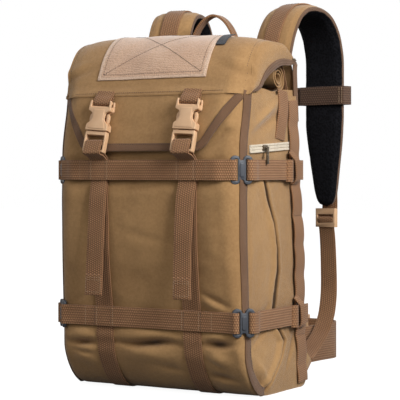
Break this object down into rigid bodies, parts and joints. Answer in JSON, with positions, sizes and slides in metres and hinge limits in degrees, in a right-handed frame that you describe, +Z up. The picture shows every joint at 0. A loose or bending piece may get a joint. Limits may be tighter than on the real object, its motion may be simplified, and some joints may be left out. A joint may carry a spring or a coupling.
{
  "type": "hunting backpack",
  "caption": "Roll-top hunting backpack: buckled lid over one main compartment, lashing belts with hooks, padded shoulder straps and a webbing waist belt.",
  "frame": {"origin": "on the flat base, on the bag's centre plane, 15 mm behind the line where the rounded toe meets the base", "axes": "+X to the right of a viewer facing the lid buckles, -Y to the front, +Y to the wearer, +Z up"},
  "size_m": [0.289, 0.4022, 0.4999],
  "materials": {
    "khaki_fabric": "coated 1000 denier nylon, matt",
    "brown_webbing": "woven nylon webbing",
    "brown_binding": "woven seam binding",
    "loop_fabric": "brushed hook-and-loop pile",
    "grey_tag": "woven tape",
    "tan_plastic": "moulded acetal, satin",
    "dark_plastic": "moulded nylon, satin",
    "zip_tape": "zip tape with coil teeth",
    "zip_metal": "die-cast slider, dull",
    "black_padding": "spacer mesh over closed-cell foam",
    "sheet_plastic": "extruded sheet",
    "stay_metal": "mill finish bar"
  },
  "bodies": {
    "bag": {"front_panel": "khaki_fabric", "base_panel": "khaki_fabric", "side_panel_left": "khaki_fabric", "side_panel_right": "khaki_fabric", "back_panel": "khaki_fabric", "frame_sheet": "sheet_plastic", "frame_stays": "stay_metal", "back_pads": "black_padding", "yoke": "khaki_fabric", "roll_collar": "khaki_fabric", "edge_bindings": "brown_binding", "front_belt_mid": "brown_webbing", "front_belt_low": "brown_webbing", "side_belts_left": "brown_webbing", "side_belts_right": "brown_webbing", "base_straps": "brown_webbing", "strap_tails": "brown_webbing", "side_webbing": "brown_webbing", "collar_straps": "brown_webbing", "zip_tapes": "zip_tape", "corner_anchors": "brown_webbing", "ladder_strap_left": "brown_webbing", "ladder_strap_right": "brown_webbing", "lower_strap_left": "brown_webbing", "lower_strap_right": "brown_webbing"},
    "lid": {"lid_top": "khaki_fabric", "lid_flap": "khaki_fabric", "lid_binding": "brown_binding", "loop_patch": "loop_fabric", "lid_tag": "grey_tag", "buckle_tabs": "brown_webbing", "buckle_female_left": "tan_plastic", "buckle_female_right": "tan_plastic"},
    "buckle_left": {"buckle_male_left": "tan_plastic"},
    "buckle_right": {"buckle_male_right": "tan_plastic"},
    "hook_mid_left": {"hook_mid_left": "dark_plastic"},
    "hook_mid_right": {"hook_mid_right": "dark_plastic"},
    "hook_low_left": {"hook_low_left": "dark_plastic"},
    "hook_low_right": {"hook_low_right": "dark_plastic"},
    "zip_left": {"zip_slider_left": "zip_metal"},
    "zip_right": {"zip_slider_right": "zip_metal"},
    "pull_left": {"zip_pull_left": "zip_metal"},
    "pull_right": {"zip_pull_right": "zip_metal"},
    "handle": {"haul_handle": "brown_webbing"},
    "shoulder_left": {"shoulder_strap_left": "black_padding", "shoulder_webbing_left": "brown_webbing", "ladder_lock_left": "tan_plastic"},
    "shoulder_right": {"shoulder_strap_right": "black_padding", "shoulder_webbing_right": "brown_webbing", "ladder_lock_right": "tan_plastic"},
    "sternum": {"sternum_strap": "brown_webbing", "sternum_buckle": "tan_plastic"},
    "waist_belt": {"waist_belt_left": "brown_webbing", "waist_belt_right": "brown_webbing", "waist_female": "tan_plastic"},
    "waist_clip": {"waist_male": "tan_plastic"}
  },
  "joints": [
    {"name": "lid_hinge", "type": "hinge", "parent": "bag", "child": "lid", "pos_m": [0, 0.072, 0.436], "axis": [-1, 0, 0], "range_deg": [0, 90]},
    {"name": "buckle_left_slide", "type": "slide", "parent": "bag", "child": "buckle_left", "axis": [0, -0.225, -0.9744], "range_m": [0, 0.021], "deforming": ["ladder_strap_left"]},
    {"name": "buckle_right_slide", "type": "slide", "parent": "bag", "child": "buckle_right", "axis": [0, -0.225, -0.9744], "range_m": [0, 0.021], "deforming": ["ladder_strap_right"]},
    {"name": "hook_mid_left_swing", "type": "hinge", "parent": "bag", "child": "hook_mid_left", "pos_m": [-0.123, -0.07857, 0.278], "axis": [0, 0, 1], "range_deg": [0, 35], "deforming": ["side_belts_left"]},
    {"name": "hook_mid_right_swing", "type": "hinge", "parent": "bag", "child": "hook_mid_right", "pos_m": [0.123, -0.07857, 0.278], "axis": [0, 0, -1], "range_deg": [0, 35], "deforming": ["side_belts_right"]},
    {"name": "hook_low_left_swing", "type": "hinge", "parent": "bag", "child": "hook_low_left", "pos_m": [-0.125, -0.07657, 0.094], "axis": [0, 0, 1], "range_deg": [0, 35], "deforming": ["side_belts_left"]},
    {"name": "hook_low_right_swing", "type": "hinge", "parent": "bag", "child": "hook_low_right", "pos_m": [0.125, -0.07657, 0.094], "axis": [0, 0, -1], "range_deg": [0, 35], "deforming": ["side_belts_right"]},
    {"name": "zip_left_slide", "type": "slide", "parent": "bag", "child": "zip_left", "axis": [0, 1, 0], "range_m": [-0.012, 0.05]},
    {"name": "pull_left_swing", "type": "hinge", "parent": "zip_left", "child": "pull_left", "pos_m": [-0.1393, -0.022, 0.30511], "axis": [0, 1, 0], "range_deg": [0, 90]},
    {"name": "zip_right_slide", "type": "slide", "parent": "bag", "child": "zip_right", "axis": [0, 1, 0], "range_m": [-0.012, 0.05]},
    {"name": "pull_right_swing", "type": "hinge", "parent": "zip_right", "child": "pull_right", "pos_m": [0.1393, -0.022, 0.30511], "axis": [0, -1, 0], "range_deg": [0, 90]},
    {"name": "handle_swing", "type": "hinge", "parent": "bag", "child": "handle", "pos_m": [0, 0.0926, 0.393], "axis": [-1, 0, 0], "range_deg": [0, 50]},
    {"name": "shoulder_right_swing", "type": "hinge", "parent": "bag", "child": "shoulder_right", "pos_m": [0, 0.09887, 0.378], "axis": [1, 0, 0], "range_deg": [0, 8]},
    {"name": "shoulder_left_swing", "type": "hinge", "parent": "bag", "child": "shoulder_left", "pos_m": [0, 0.09887, 0.378], "axis": [1, 0, 0], "range_deg": [0, 8]},
    {"name": "sternum_slide", "type": "slide", "parent": "shoulder_right", "child": "sternum", "axis": [0, 0, 1], "range_m": [-0.015, 0.015]},
    {"name": "waist_belt_swing", "type": "hinge", "parent": "bag", "child": "waist_belt", "pos_m": [0, 0.10297, 0.067], "axis": [1, 0, 0], "range_deg": [0, 12]},
    {"name": "waist_clip_slide", "type": "slide", "parent": "waist_belt", "child": "waist_clip", "axis": [1, 0, 0], "range_m": [0, 0.016]}
  ],
  "couplings": [
    {"joint": "shoulder_left_swing", "follows": "shoulder_right_swing", "ratio": 1}
  ]
}
